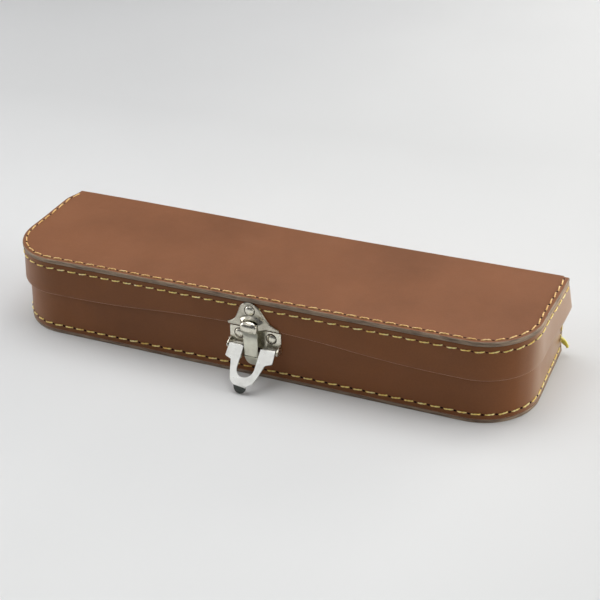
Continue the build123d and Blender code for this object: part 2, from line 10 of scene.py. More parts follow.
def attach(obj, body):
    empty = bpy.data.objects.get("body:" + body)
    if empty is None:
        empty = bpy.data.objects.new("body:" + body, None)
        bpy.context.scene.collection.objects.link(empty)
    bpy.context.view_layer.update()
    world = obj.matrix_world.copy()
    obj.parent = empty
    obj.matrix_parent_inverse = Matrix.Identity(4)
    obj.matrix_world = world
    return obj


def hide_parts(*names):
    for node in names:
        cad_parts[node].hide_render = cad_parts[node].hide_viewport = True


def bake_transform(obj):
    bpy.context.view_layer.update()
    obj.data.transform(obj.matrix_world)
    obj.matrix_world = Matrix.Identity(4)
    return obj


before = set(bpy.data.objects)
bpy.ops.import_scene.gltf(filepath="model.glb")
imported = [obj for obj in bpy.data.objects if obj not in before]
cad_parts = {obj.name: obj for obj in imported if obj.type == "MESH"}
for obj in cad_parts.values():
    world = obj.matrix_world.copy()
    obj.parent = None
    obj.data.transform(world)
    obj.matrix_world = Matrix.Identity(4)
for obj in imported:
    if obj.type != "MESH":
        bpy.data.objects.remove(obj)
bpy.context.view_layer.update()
MM = 0.001

# Shell sizes in millimetres, as in the part's source
HALF_LENGTH = 200.0
HALF_DEPTH = 52.85
HEIGHT = 63.2
CORNER_R = 41.0
WRAP = 2.6
BAND = 2.5
TOP_UNDER = HEIGHT - WRAP
FOLD_Y = HALF_DEPTH - WRAP
ARC_X = HALF_LENGTH - CORNER_R
ARC_Y = CORNER_R - HALF_DEPTH
BASE_RIM_Z = 57.3
BASE_FOOT_INSET = -0.3
BASE_LEAN = (3.76 + 0.3) / (BASE_RIM_Z - WRAP)
LID_EDGE_Z = 34.2
LID_ARCH_RISE = 6.8
LID_FLARE = (0.7 + 1.5) / (TOP_UNDER - LID_EDGE_Z)
ARCH_HALF_RUN = 150.0
LATCH_X = 7.1


# ---------------------------------------------------------------- materials
class Nodes:
    """Short way to build a node tree."""

    def __init__(self, name):
        self.material = bpy.data.materials.new(name)
        self.material.use_nodes = True
        self.tree = self.material.node_tree
        self.shader = self.tree.nodes["Principled BSDF"]
        self.place = self.add("ShaderNodeTexCoord").outputs["Object"]

    def add(self, kind, **values):
        node = self.tree.nodes.new(kind)
        for key, value in values.items():
            if hasattr(node, key):
                setattr(node, key, value)
            else:
                node.inputs[key.replace("_", " ")].default_value = value
        return node

    def link(self, a, b):
        self.tree.links.new(a, b)

    def noise(self, scale, detail=3.0, rough=0.55, stretch=None, distortion=0.0):
        node = self.add("ShaderNodeTexNoise", Scale=scale, Detail=detail, Roughness=rough, Distortion=distortion)
        source = self.place
        if stretch:
            mapping = self.add("ShaderNodeMapping")
            mapping.inputs["Scale"].default_value = stretch
            self.link(source, mapping.inputs["Vector"])
            source = mapping.outputs["Vector"]
        self.link(source, node.inputs["Vector"])
        return node.outputs["Fac"]

    def cells(self, scale, feature="DISTANCE_TO_EDGE"):
        node = self.add("ShaderNodeTexVoronoi", feature=feature, Scale=scale)
        self.link(self.place, node.inputs["Vector"])
        return node.outputs["Distance"]

    def ramp(self, source, stops):
        node = self.add("ShaderNodeValToRGB")
        points = node.color_ramp.elements
        while len(points) < len(stops):
            points.new(0.5)
        for point, (at, colour) in zip(points, stops):
            point.position = at
            point.color = colour if len(colour) == 4 else (*colour, 1)
        self.link(source, node.inputs["Fac"])
        return node.outputs["Color"]

    def levels(self, source, low, high, start=0.0, end=1.0):
        node = self.add("ShaderNodeMapRange")
        for key, value in (("From Min", start), ("From Max", end), ("To Min", low), ("To Max", high)):
            node.inputs[key].default_value = value
        self.link(source, node.inputs["Value"])
        return node.outputs["Result"]

    def mix(self, factor, a, b, blend="MIX"):
        node = self.add("ShaderNodeMix", data_type="RGBA", blend_type=blend)
        for socket, value in ((node.inputs[0], factor), (node.inputs[6], a), (node.inputs[7], b)):
            if isinstance(value, bpy.types.NodeSocket):
                self.link(value, socket)
            elif isinstance(value, float):
                socket.default_value = value
            else:
                socket.default_value = (*value, 1)
        return node.outputs[2]

    def bump(self, source, strength, distance, after=None):
        node = self.add("ShaderNodeBump", Strength=strength, Distance=distance)
        self.link(source, node.inputs["Height"])
        if after:
            self.link(after, node.inputs["Normal"])
        return node.outputs["Normal"]

    def finish(self, colour=None, roughness=None, normal=None, **constants):
        for name, source in (("Base Color", colour), ("Roughness", roughness), ("Normal", normal)):
            if source is not None:
                self.link(source, self.shader.inputs[name])
        for key, value in constants.items():
            self.shader.inputs[key.replace("_", " ")].default_value = value
        return self.material


def leather(name, colour, wear=0.10, painted_shade=(), gloss=0.24, sheen_ends=None):
    """Smooth waxed hide: fine pores, slight clouding, a few long soft scuffs; where given, painted shade patches and
    painted sheen at the ends.
    """
    n = Nodes(name)
    dark = tuple(c * 0.86 for c in colour)
    light = tuple(min(1, c * 1.12) for c in colour)
    clouds = n.ramp(n.noise(14, 4), [(0.30, dark), (0.50, colour), (0.72, light)])
    fine = n.ramp(n.noise(900, 2), [(0.35, (0.93, 0.93, 0.93)), (0.65, (1.05, 1.04, 1.03))])
    base = n.mix(0.6, clouds, fine, "MULTIPLY")
    scuff = n.levels(n.noise(55, 5, 0.7, stretch=(0.25, 1, 1)), 0, wear, 0.62, 0.80)
    base = n.mix(scuff, base, tuple(min(1, c * 1.9 + 0.03) for c in colour))
    pores = n.cells(1500)
    normal = n.bump(pores, 0.10, 0.00012)
    normal = n.bump(n.noise(420, 3), 0.10, 0.0002, normal)
    normal = n.bump(n.noise(28, 2), 0.10, 0.0015, normal)
    # Painted shade: each patch darkens the colour inside a soft-edged ellipsoid, standing in for shade.
    for centre, radii, dark in painted_shade:
        shift = n.add("ShaderNodeMapping")
        shift.inputs["Scale"].default_value = [1 / (r * MM) for r in radii]
        shift.inputs["Location"].default_value = [-c / r for c, r in zip(centre, radii)]
        n.link(n.place, shift.inputs["Vector"])
        size = n.add("ShaderNodeVectorMath", operation="LENGTH")
        n.link(shift.outputs["Vector"], size.inputs[0])
        shade = n.ramp(n.levels(size.outputs["Value"], 0, 1, 0.6, 1.15), [(0.0, (dark, dark, dark)), (1.0, (1, 1, 1))])
        base = n.mix(1.0, base, shade, "MULTIPLY")
    rough = n.levels(n.noise(70, 4), 0.40, 0.52, 0.3, 0.7)
    # Painted sheen at the two ends: the colour is lightened towards pale tan there, and a coat is added only there.
    if sheen_ends:
        split = n.add("ShaderNodeSeparateXYZ")
        n.link(n.place, split.inputs["Vector"])
        left, right = sheen_ends
        end_sheen = n.ramp(n.levels(split.outputs["X"], 0, 1, -0.2, 0.2), [
            (0.0, (left, left, left)), (0.06, (left * 0.5,) * 3), (0.12, (0, 0, 0)),
            (0.974, (0, 0, 0)), (0.991, (right * 0.25,) * 3), (1.0, (right, right, right))])
        base = n.mix(n.levels(end_sheen, 0, 0.30), base, (0.46, 0.31, 0.165))
        n.link(end_sheen, n.shader.inputs["Coat Weight"])
        n.shader.inputs["Coat Roughness"].default_value = 0.42
        n.shader.inputs["Coat IOR"].default_value = 1.75
        n.shader.inputs["Coat Tint"].default_value = (1.0, 0.97, 0.90, 1)
    return n.finish(base, rough, normal, Specular_IOR_Level=gloss)


def raw_edge(name, outer, core):
    """Cut edge of thick hide: dull, fibrous, streaked along the edge."""
    n = Nodes(name)
    streaks = n.noise(260, 5, 0.7, stretch=(0.30, 0.30, 3.0))
    colour = n.ramp(streaks, [(0.30, core), (0.50, outer), (0.74, tuple(min(1, c * 1.55) for c in outer))])
    blotch = n.ramp(n.noise(60, 4), [(0.35, (0.72, 0.70, 0.68)), (0.62, (1.08, 1.06, 1.02))])
    colour = n.mix(0.8, colour, blotch, "MULTIPLY")
    normal = n.bump(streaks, 0.45, 0.0005)
    normal = n.bump(n.noise(1400, 3), 0.3, 0.0002, normal)
    return n.finish(colour, n.levels(streaks, 0.55, 0.8), normal, Specular_IOR_Level=0.35)


def thread(name, dull, plain, pale):
    n = Nodes(name)
    tint = n.ramp(n.noise(160, 3), [(0.3, dull), (0.5, plain), (0.75, pale)])
    fibre = n.noise(2600, 3, 0.6)
    normal = n.bump(fibre, 0.35, 0.0001)
    return n.finish(tint, n.levels(fibre, 0.45, 0.65), normal, Sheen_Weight=0.25, Sheen_Roughness=0.4)


# Near-black colour used as painted shade: needle-hole floors, hook creases and rivet rings.
def pit(name):
    n = Nodes(name)
    colour = n.ramp(n.noise(900, 3), [(0.3, (0.006, 0.004, 0.003)), (0.7, (0.030, 0.015, 0.010))])
    return n.finish(colour, n.levels(n.noise(600, 2), 0.7, 0.95), Specular_IOR_Level=0.1)


def metal(name, colour, low, high, tarnish, scratch=0.10):
    """Worn nickel plate with hairline scratches and darker tarnish in patches."""
    n = Nodes(name)
    patches = n.levels(n.noise(170, 5, 0.65), 0, 1, 0.48, 0.72)
    base = n.mix(patches, colour, tarnish)
    hair = n.noise(900, 4, 0.7, stretch=(0.12, 1, 1))
    normal = n.bump(hair, scratch, 0.00006)
    normal = n.bump(n.noise(120, 2), 0.12, 0.0004, normal)
    rough = n.levels(n.noise(260, 5, 0.7), low, high, 0.3, 0.75)
    return n.finish(base, rough, normal, Metallic=1.0)


def tip_dark(name):
    n = Nodes(name)
    knurl = n.cells(1300, "F1")
    colour = n.ramp(knurl, [(0.15, (0.022, 0.026, 0.022)), (0.75, (0.075, 0.085, 0.075))])
    return n.finish(colour, n.levels(n.noise(500, 3), 0.38, 0.6), n.bump(knurl, 0.6, 0.0004), Metallic=0.3)


def plush(name, colour):
    """Short velvet pile, brushed in patches."""
    n = Nodes(name)
    dark = tuple(c * 0.55 for c in colour)
    light = tuple(min(1, c * 1.5 + 0.01) for c in colour)
    brushed = n.ramp(n.noise(45, 4, 0.6, distortion=0.6), [(0.32, dark), (0.52, colour), (0.75, light)])
    pile = n.noise(1900, 3, 0.7)
    tips = n.ramp(pile, [(0.35, (0.72, 0.72, 0.72)), (0.68, (1.18, 1.14, 1.14))])
    base = n.mix(0.85, brushed, tips, "MULTIPLY")
    normal = n.bump(pile, 0.55, 0.0005)
    normal = n.bump(n.noise(80, 3), 0.25, 0.0015, normal)
    return n.finish(base, n.levels(pile, 0.8, 0.95), normal, Sheen_Weight=0.7, Sheen_Roughness=0.35,
                    Sheen_Tint=(0.9, 0.45, 0.5, 1), Specular_IOR_Level=0.15)


HIDE = leather("hide_top", (0.222, 0.092, 0.044))
# Painted shade on both bands: dark patches in the keeper's window, under the keeper's foot, under the latch plate and
# along the top edge under the panel; the ends get painted sheen.
HIDE_BAND = leather("hide_band", (0.205, 0.072, 0.021), 0.10, gloss=0.26, sheen_ends=(0.30, 1.0), painted_shade=(
    ((LATCH_X, -54, 45.5), (8.0, 9.0, 7.0), 0.06), ((LATCH_X, -54, 39.6), (21.0, 9.0, 2.0), 0.12),
    ((LATCH_X, -52, 22.0), (19.0, 8.0, 3.2), 0.25), ((0, 0, 60.2), (260.0, 90.0, 1.6), 0.22)))
HIDE_INNER = leather("hide_flesh", (0.30, 0.19, 0.12), 0.05)
EDGE = raw_edge("raw_edge", (0.285, 0.212, 0.150), (0.100, 0.064, 0.048))
# Raw cut edge of the bands, made lighter as a painted highlight along their lower edges.
BAND_EDGE_AND_HIGHLIGHT = raw_edge("raw_band_edge_and_highlight", (0.50, 0.31, 0.21), (0.26, 0.13, 0.08))
# Painted light: these colours are raised to stand in for the light that the raised stitches catch from above.
THREAD = thread("linen_thread", (0.84, 0.54, 0.10), (0.96, 0.78, 0.24), (1.0, 0.92, 0.52))
# Top row: worn thread, its pinkish tan also a painted warm reflection.
THREAD_WORN_AND_REFLECTION = thread("linen_thread_worn_and_reflection", (0.66, 0.38, 0.11), (0.80, 0.52, 0.19), (0.90, 0.70, 0.34))
THREAD_END = thread("linen_thread_end", (0.60, 0.50, 0.05), (0.74, 0.66, 0.09), (0.84, 0.76, 0.20))
PIT = pit("needle_hole")
NICKEL = metal("nickel_worn", (0.79, 0.76, 0.65), 0.22, 0.32, (0.62, 0.58, 0.48), 0.05)
NICKEL_BRIGHT = metal("nickel_bright", (0.72, 0.72, 0.685), 0.26, 0.36, (0.60, 0.60, 0.56), 0.04)
NICKEL_SATIN = metal("nickel_satin", (0.79, 0.78, 0.66), 0.36, 0.46, (0.68, 0.66, 0.55), 0.04)
# Painted shade: a darker copy of the nickel for the keeper, standing in for the dark room it reflects.
NICKEL_SHADED = metal("nickel_shaded", (0.58, 0.55, 0.46), 0.24, 0.34, (0.44, 0.41, 0.33), 0.05)
# Painted shade on the latch: creases of the hook and rings round the rivet heads.
LATCH_SHADE = pit("latch_painted_shade")
TIP = tip_dark("tip_dark")
PLUSH = plush("plush_crimson", (0.165, 0.012, 0.024))


# ---------------------------------------------------------------- mesh helpers
def make(name, verts, faces, materials, body, node_names=(), slots=None, smooth=True):
    """A mesh piece from points in millimetres, riding on a body."""
    mesh = bpy.data.meshes.new(name)
    mesh.from_pydata([Vector(v) * MM for v in verts], [], faces)
    obj = bpy.data.objects.new(name, mesh)
    bpy.context.scene.collection.objects.link(obj)
    for material in materials:
        mesh.materials.append(material)
    if slots:
        mesh.polygons.foreach_set("material_index", slots)
    tidy = bmesh.new()
    tidy.from_mesh(mesh)
    bmesh.ops.remove_doubles(tidy, verts=tidy.verts, dist=0.000004)
    bmesh.ops.recalc_face_normals(tidy, faces=tidy.faces)
    tidy.to_mesh(mesh)
    tidy.free()
    if smooth:
        mesh.polygons.foreach_set("use_smooth", [True] * len(mesh.polygons))
    if body:
        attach(obj, body)
    if node_names:
        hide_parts(*node_names)
    return obj


def rounded(node, width, materials, body, name=None, segments=2, angle=28, pick=None, shape=None):
    """A copy of a CAD node with its sharp edges softened, in place of the node."""
    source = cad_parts[node]
    mesh = source.data.copy()
    obj = bpy.data.objects.new(name or node + "_finished", mesh)
    bpy.context.scene.collection.objects.link(obj)
    work = bmesh.new()
    work.from_mesh(mesh)
    bmesh.ops.remove_doubles(work, verts=work.verts, dist=0.000002)
    bmesh.ops.dissolve_limit(work, angle_limit=math.radians(1.5), verts=work.verts, edges=work.edges)
    if shape:
        for v in work.verts:
            v.co = shape(v.co / MM) * MM
    sharp = [e for e in work.edges if len(e.link_faces) == 2 and e.calc_face_angle(0) > math.radians(angle)]
    bmesh.ops.bevel(work, geom=sharp, offset=width * MM, offset_type="OFFSET", segments=segments, profile=0.5,
                    affect="EDGES", clamp_overlap=True)
    bmesh.ops.triangulate(work, faces=[f for f in work.faces if len(f.verts) > 4])
    bmesh.ops.recalc_face_normals(work, faces=work.faces)
    work.to_mesh(mesh)
    work.free()
    mesh.materials.clear()
    for material in materials:
        mesh.materials.append(material)
    indices = [0] * len(mesh.polygons)
    if pick:
        indices = [pick(p.center / MM) for p in mesh.polygons]
    mesh.polygons.foreach_set("material_index", indices)
    mesh.polygons.foreach_set("use_smooth", [True] * len(mesh.polygons))
    mesh.set_sharp_from_angle(angle=math.radians(50))
    flat = obj.modifiers.new("flat_faces", "WEIGHTED_NORMAL")
    flat.keep_sharp = True
    flat.weight = 100
    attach(obj, body)
    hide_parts(node)
    return obj


# ---------------------------------------------------------------- outline of the case
def outline(side_steps, arc_steps, front_steps, rear):
    """Points (x, y) of the top's outline with outward normals, from rear left round to rear right."""
    points = []
    for i in range(side_steps):
        points.append((-HALF_LENGTH, rear + (ARC_Y - rear) * i / side_steps, -1.0, 0.0))
    for i in range(arc_steps):
        a = math.pi / 2 * i / arc_steps
        nx, ny = -math.cos(a), -math.sin(a)
        points.append((-ARC_X + CORNER_R * nx, ARC_Y + CORNER_R * ny, nx, ny))
    for i in range(front_steps):
        points.append((-ARC_X + 2 * ARC_X * i / front_steps, -HALF_DEPTH, 0.0, -1.0))
    for i in range(arc_steps):
        a = math.pi / 2 * i / arc_steps
        nx, ny = math.sin(a), -math.cos(a)
        points.append((ARC_X + CORNER_R * nx, ARC_Y + CORNER_R * ny, nx, ny))
    for i in range(side_steps + 1):
        points.append((HALF_LENGTH, ARC_Y + (rear - ARC_Y) * i / side_steps, 1.0, 0.0))
    return points


def base_inset(z):
    return BASE_FOOT_INSET + BASE_LEAN * (z - WRAP)


def lid_inset(z):
    return 0.7 - LID_FLARE * (TOP_UNDER - z)


def lid_low(x, ny):
    """Lower edge of the lid band, raised in a shallow arch over the latch."""
    if ny > -0.999 or abs(x) >= ARCH_HALF_RUN:
        return LID_EDGE_Z
    half_run, half_rise = ARCH_HALF_RUN / 2, LID_ARCH_RISE / 2
    radius = (half_run**2 + half_rise**2) / (2 * half_rise)
    if abs(x) > half_run:
        return LID_EDGE_Z + radius - math.sqrt(radius**2 - (ARCH_HALF_RUN - abs(x)) ** 2)
    return LID_EDGE_Z + LID_ARCH_RISE - radius + math.sqrt(radius**2 - x**2)


def wobble(x, y, z, size, scale):
    """Slight unevenness of thick leather, in millimetres."""
    return size * noise.noise(Vector((x, y, z)) / scale)


def swept_band(name, path, low, high, inset, body, node, edge=0.45, rows=9):
    """Strip of leather round the outline with softened edges and closed ends."""
    def section(x, y, nx, ny, shrink=0.0):
        lo, hi = low(x, ny) + shrink, high - shrink
        near, far = shrink, BAND - shrink
        loop = []
        for k in range(rows + 1):
            z = hi - edge + (lo + edge - hi + edge) * k / rows
            loop.append((near, z))
        for a in (30, 60):
            t = math.radians(a)
            loop.append((near + 1.6 * edge * (1 - math.cos(t)), lo + edge * (1 - math.sin(t))))
        loop += [(near + edge, lo), (far - edge, lo)]
        for a in (60, 30):
            t = math.radians(a)
            loop.append((far - edge * (1 - math.cos(t)), lo + edge * (1 - math.sin(t))))
        loop += [(far, lo + edge), (far, (lo + hi) / 2), (far, hi - edge)]
        loop += [(far - edge * 0.3, hi - edge * 0.3), (far - edge, hi), (near + edge, hi), (near + edge * 0.3, hi - edge * 0.3)]
        out = []
        for t, z in loop:
            d = inset(z) + t
            if t <= near + 0.01 and lo + 1 < z < hi - 1:
                d += 0.5 * wobble(x, y, z, 0.22, 38.0)
            out.append((x - nx * d, y - ny * d, z))
        return out

    rings = [section(*path[0], 0.35)]
    rings[0] = [(p[0], p[1] , p[2]) for p in rings[0]]
    body_rings = [section(*p) for p in path]
    first = [(a[0], a[1] - 0.35, a[2]) for a in body_rings[0]]
    last = [(a[0], a[1] - 0.35, a[2]) for a in body_rings[-1]]
    rings += [first] + body_rings[1:-1] + [last, section(*path[-1], 0.35)]
    count = len(rings[0])
    verts = [v for ring in rings for v in ring]
    faces, slots = [], []
    for i in range(len(rings) - 1):
        for j in range(count):
            k = (j + 1) % count
            faces.append((i * count + j, i * count + k, (i + 1) * count + k, (i + 1) * count + j))
            slots.append(0 if j < rows or j > count - 2 else (2 if rows + 5 < j < rows + 9 else 1))
    faces.append(tuple(range(count)))
    faces.append(tuple(reversed([(len(rings) - 1) * count + j for j in range(count)])))
    slots += [1, 1]
    return make(name, verts, faces, [HIDE_BAND, BAND_EDGE_AND_HIGHLIGHT, HIDE_INNER], body, [node], slots)


def ease(value, low, high):
    t = min(1.0, max(0.0, (value - low) / (high - low)))
    return t * t * (3 - 2 * t)


def settle(obj, kind):
    """The fold stands up a little at the left, its corner is drawn in, and the right end spreads."""
    for vertex in obj.data.vertices:
        x, y, z = vertex.co / MM
        top = ease(z, 40, 60)
        left = ease(-x, -60, 180) * ease(y, 0, 50) * top
        drawn = 3.9 * ease(-x, 150, 196) * ease(y, 34, 49.5) * (1.0 if kind == "hide" else ease(z, 57.4, 60.6))
        if kind == "hide" and (y > 49.55 or z < 59):
            drawn = 0.0
        spread = ease(x, 150, 196) * ease(y, -10, 46)
        low = 2.4 * spread * ease(z, 5, 45)
        right = {"hide": 2.2 * spread * top + low * (1 - top), "base": low,
                 "band": spread * (2.2 + 2.0 * (1 - min(1.0, max(0.0, (z - 29) / 31))))}[kind]
        if kind == "base":
            left = drawn = 0.0
        raised = 5.0 * spread * (1 - min(1.0, max(0.0, (z - 29) / 31))) if kind == "band" else 0.0
        vertex.co = Vector((x + drawn + right, y + 2.8 * left, z + 0.8 * left + raised)) * MM


LID_REAR = HALF_DEPTH - 0.6
lid_band = swept_band("lid_band_leather", outline(22, 30, 106, LID_REAR), lid_low, TOP_UNDER,
                      lid_inset, "lid", "lid_band")
base_band = swept_band("base_band_leather", outline(22, 30, 106, FOLD_Y), lambda x, ny: WRAP, BASE_RIM_Z,
                       base_inset, "base", "base_band", rows=14)


settle(lid_band, "band")
settle(base_band, "base")


def bent_hide():
    """Top, round fold and back as one sheet of thick leather."""
    arc_steps, columns = 18, 106
    edge = 0.4
    rows = []  # outer point (y, z), inward direction (dy, dz), half width, corner angle or None
    for i in range(arc_steps):
        a = math.pi / 2 * (1 - i / arc_steps)
        rows.append((ARC_Y, HEIGHT, 0, -1, HALF_LENGTH, a))
    ys = [ARC_Y + (44.0 - ARC_Y) * i / 16 for i in range(17)] + [45.5, 47.0, 48.4, 49.5]
    rows += [(y, HEIGHT, 0, -1, HALF_LENGTH, None) for y in ys]
    rows += [(y, HEIGHT, 0, -1, 196.0, None) for y in (49.6, 50.2)]
    for i in range(11):
        a = math.pi / 2 * i / 10
        s, c = math.sin(a), math.cos(a)
        rows.append((FOLD_Y + WRAP * s, TOP_UNDER + WRAP * c, -s, -c, 196.0, None))
    for z in (60.0, 58.8, 57.4, 55.5) + tuple(55.5 - (55.5 - WRAP) * i / 14 for i in range(1, 15)):
        rows.append((HALF_DEPTH, z, -1, 0, HALF_LENGTH - base_inset(min(z, TOP_UNDER)), None))

    def point(row, side, share, inset, depth):
        """side -1 or 1 on the boundary, or a share across from left to right."""
        y, z, dy, dz, half, a = row
        depth = min(depth, WRAP - 0.04) if dy else depth
        if a is not None:
            ex = ARC_X + (CORNER_R - inset) * math.cos(a)
            ey = ARC_Y - (CORNER_R - inset) * math.sin(a)
        else:
            ex, ey = half - inset, y
        x = side * ex if side else -ex + 2 * ex * share
        if dy:
            return (x, y + dy * depth, z + dz * depth)
        lift = wobble(x, ey, 0, 0.30, 70.0) if depth == 0 and inset >= edge and ey < 44 else 0.0
        return (x, ey, z - depth + lift)

    verts, faces, slots = [], [], []

    def grid(inset, depth):
        start = len(verts)
        for row in rows:
            verts.extend(point(row, 0, j / columns, inset, depth) for j in range(columns + 1))
        return start

    outer, inner = grid(edge, 0.0), grid(0.6, WRAP)
    last = len(rows) - 1
    width = columns + 1
    for start, flip, kind in ((outer, False, 0), (inner, True, 2)):
        for i in range(last):
            for j in range(columns):
                q = [start + i * width + j, start + i * width + j + 1,
                     start + (i + 1) * width + j + 1, start + (i + 1) * width + j]
                faces.append(tuple(reversed(q)) if flip else tuple(q))
                slots.append(kind)
    loop = [(i, 0) for i in range(last, 0, -1)] + [(0, j) for j in range(columns)] + [(i, columns) for i in range(last + 1)]
    rings = [[outer + i * width + j for i, j in loop]]
    for inset, depth in ((0.12, 0.12), (-0.05, 0.42), (-0.25, 1.2), (-0.25, 2.2), (-0.1, 3.0), (0.2, 3.35), (0.5, 3.2)):
        ring = []
        for i, j in loop:
            share = j / columns
            ragged = 0.10 * noise.noise(Vector((i * 0.9, j * 0.7, depth * 3))) if 0.2 < depth < 3.1 else 0
            if i == 0:
                p = point(rows[0], 0, share, inset + ragged, depth)
            else:
                p = point(rows[i], -1 if j == 0 else 1, 0, inset + ragged, depth)
            ring.append(len(verts))
            verts.append(p)
        rings.append(ring)
    rings.append([inner + i * width + j for i, j in loop])
    for a, b in zip(rings, rings[1:]):
        for k in range(len(loop) - 1):
            faces.append((a[k], a[k + 1], b[k + 1], b[k]))
            slots.append(1)
    left, right = [r[0] for r in rings], [r[-1] for r in rings]
    bottom_outer = [outer + last * width + j for j in range(columns + 1)]
    bottom_inner = [inner + last * width + j for j in range(columns + 1)]
    for j in range(columns):
        faces.append((bottom_outer[j], bottom_outer[j + 1], bottom_inner[j + 1], bottom_inner[j]))
        slots.append(1)
    for edge_loop in (left, right):
        faces.append(tuple(edge_loop))
        slots.append(1)
    return make("hide_top_fold_back", verts, faces, [HIDE, EDGE, HIDE_INNER], None,
                ["top_panel", "hinge_fold", "back_panel"], slots)


hide = bent_hide()
settle(hide, "hide")
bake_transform(hide)


def bottom_sheet():
    """Bottom of the case, its front and side edges left raw, its rear edge in hide where the back stands on it."""
    path = outline(22, 30, 106, HALF_DEPTH)
    profile = [(0.5, 0.0), (0.12, 0.12), (0.0, 0.5), (-0.04, 1.3), (0.0, 2.1), (0.15, WRAP), (3.4, WRAP)]
    verts, faces, slots = [], [], []
    for inset, z in profile:
        for x, y, nx, ny in path:
            d = inset - 0.5
            if 0 < z < WRAP:
                d += 0.10 * noise.noise(Vector((x, y, z * 4)) / 3.0)
            verts.append((x - nx * d, min(y - ny * d, HALF_DEPTH), z))
    count = len(path)
    for i in range(len(profile) - 1):
        for k in range(count - 1):
            faces.append((i * count + k, i * count + k + 1, (i + 1) * count + k + 1, (i + 1) * count + k))
            slots.append(0 if i == 5 else 1)
    faces.append(tuple(range(count)))
    faces.append(tuple(reversed(range((len(profile) - 1) * count, len(profile) * count))))
    slots += [0, 0]
    rear = [i * count for i in range(len(profile))] + [(i + 1) * count - 1 for i in reversed(range(len(profile)))]
    faces.append(tuple(rear))
    slots.append(0)
    return make("hide_bottom", verts, faces, [HIDE, EDGE], "base", ["bottom_panel"], slots, smooth=True)


bottom = bottom_sheet()
for piece in (hide, bottom, lid_band, base_band):
    piece.data.set_sharp_from_angle(angle=math.radians(50))


# ---------------------------------------------------------------- stitching
def walk(points, pitch, start=0.0, end=0.0):
    """Evenly spaced places along a line of (position, outward normal)."""
    lengths = [0.0]
    for (a, _), (b, _) in zip(points, points[1:]):
        lengths.append(lengths[-1] + (b - a).length)
    run = lengths[-1] - start - end
    count = round(run / pitch)
    places, seg = [], 0
    for i in range(count):
        s = start + run * (i + 0.5) / count
        while lengths[seg + 1] < s:
            seg += 1
        (a, na), (b, nb) = points[seg], points[seg + 1]
        t = (s - lengths[seg]) / (lengths[seg + 1] - lengths[seg])
        places.append((a.lerp(b, t), (b - a).normalized(), na.lerp(nb, t).normalized()))
    return places, run / count


def add_stitch(verts, faces, centre, along, out, length, radius, rng):
    """One visible stitch of two-ply thread that rises from one hole and dips into the next."""
    side = out.cross(along)
    slant = math.radians(rng.uniform(3, 9))
    along = (along * math.cos(slant) + side * math.sin(slant)).normalized()
    side = out.cross(along)
    turn = rng.uniform(0, math.tau)
    length *= rng.uniform(0.95, 1.04)
    steps, sides = 11, 6
    for ply in (0, math.pi):
        start = len(verts)
        for i in range(steps):
            u = i / (steps - 1)
            s = (u - 0.5) * length
            lift = radius * 0.66 - (radius * 2.2) * abs(2 * u - 1) ** 6
            spin = turn + ply + u * length * 1.15
            middle = centre + along * s + out * lift
            middle += (side * math.cos(spin) + out * math.sin(spin)) * radius * 0.34
            for k in range(sides):
                a = math.tau * k / sides
                verts.append(middle + (side * math.cos(a) + out * math.sin(a)) * radius * 0.68)
        for i in range(steps - 1):
            for k in range(sides):
                m = (k + 1) % sides
                a, b = start + i * sides, start + (i + 1) * sides
                faces.append((a + k, a + m, b + m, b + k))
        faces.append(tuple(start + k for k in reversed(range(sides))))
        faces.append(tuple(start + (steps - 1) * sides + k for k in range(sides)))


def add_hole(verts, faces, slots, centre, along, out, long_r, wide_r):
    """Needle hole: a lip of pushed-up leather round a sunken floor, with painted shade: the floor is near-black."""
    side = out.cross(along)
    start, ring = len(verts), 10
    for scale, lift in ((1.45, -0.05), (1.18, 0.10), (1.0, 0.07), (0.80, 0.025)):
        for k in range(ring):
            a = math.tau * k / ring
            verts.append(centre + along * math.cos(a) * long_r * scale + side * math.sin(a) * wide_r * scale + out * lift)
    for i in range(3):
        for k in range(ring):
            m = (k + 1) % ring
            a, b = start + i * ring, start + (i + 1) * ring
            faces.append((a + k, a + m, b + m, b + k))
            slots.append(0 if i == 0 else 1)
    faces.append(tuple(start + 3 * ring + k for k in range(ring)))
    slots.append(1)


def unevenness(place, out):
    """How far the uneven leather stands out at a place on a stitched row."""
    if out.z > 0.5:
        return wobble(place.x, place.y, 0, 0.30, 70.0)
    return -0.5 * wobble(*place, 0.22, 38.0)


def stitch_row(name, points, body, seed, length=7.3, radius=0.64, pitch=9.3, hole=(0.95, 0.66), start=1.0, end=1.0,
               twine=None):
    rng = random.Random(seed)
    places, step = walk(points, pitch, start, end)
    verts, faces = [], []
    hole_verts, hole_faces, hole_slots = [], [], []
    for centre, along, out in places:
        add_stitch(verts, faces, centre, along, out, length, radius, rng)
        between = centre + along * step / 2
        between += out * unevenness(between, out)
        add_hole(hole_verts, hole_faces, hole_slots, between, along, out, *hole)
    row = make(name, verts, faces, [twine or THREAD], body)
    holes = make(name + "_holes", hole_verts, hole_faces, [HIDE_BAND, PIT], body, slots=hole_slots)
    return row, holes


def side_line(inset_at, z, rear, lean):
    """Line round the outline at one height, on the outer face of a leaning band."""
    return [(Vector((x - nx * inset_at(z), y - ny * inset_at(z), z)), Vector((nx, ny, lean)).normalized())
            for x, y, nx, ny in outline(22, 30, 106, rear)]


